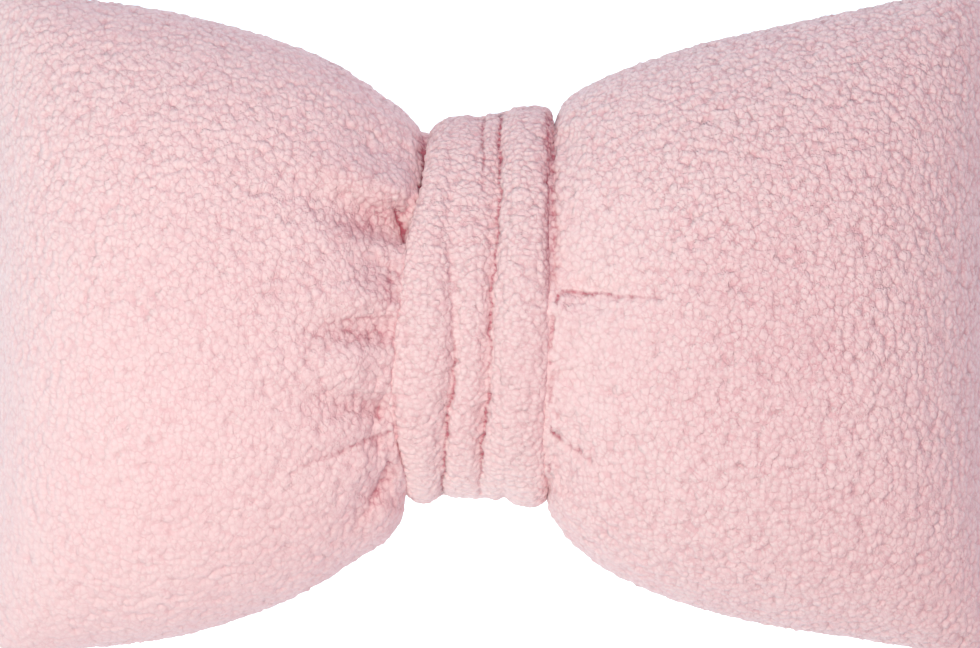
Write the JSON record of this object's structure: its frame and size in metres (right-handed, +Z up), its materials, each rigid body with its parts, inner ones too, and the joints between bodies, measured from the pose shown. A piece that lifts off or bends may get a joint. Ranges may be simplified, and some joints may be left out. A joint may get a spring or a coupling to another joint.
{
  "type": "bow cushion",
  "caption": "Stuffed bow-shaped cushion in curly fleece, drawn in at the middle by a pleated knot band; lies on a sofa, chair or bed.",
  "frame": {"origin": "on the surface that the cushion lies on, under the middle of the bow's length and width", "axes": "+X along the bow to the right lobe, +Y to its top edge as it is looked at, +Z up, out of its front"},
  "size_m": [0.45, 0.2943, 0.134],
  "materials": {
    "curly_fleece": "matt curly fleece pile in small rounded curls"
  },
  "bodies": {
    "root": {"cushion_body": "curly_fleece", "knot_band": "curly_fleece"}
  },
  "joints": []
}
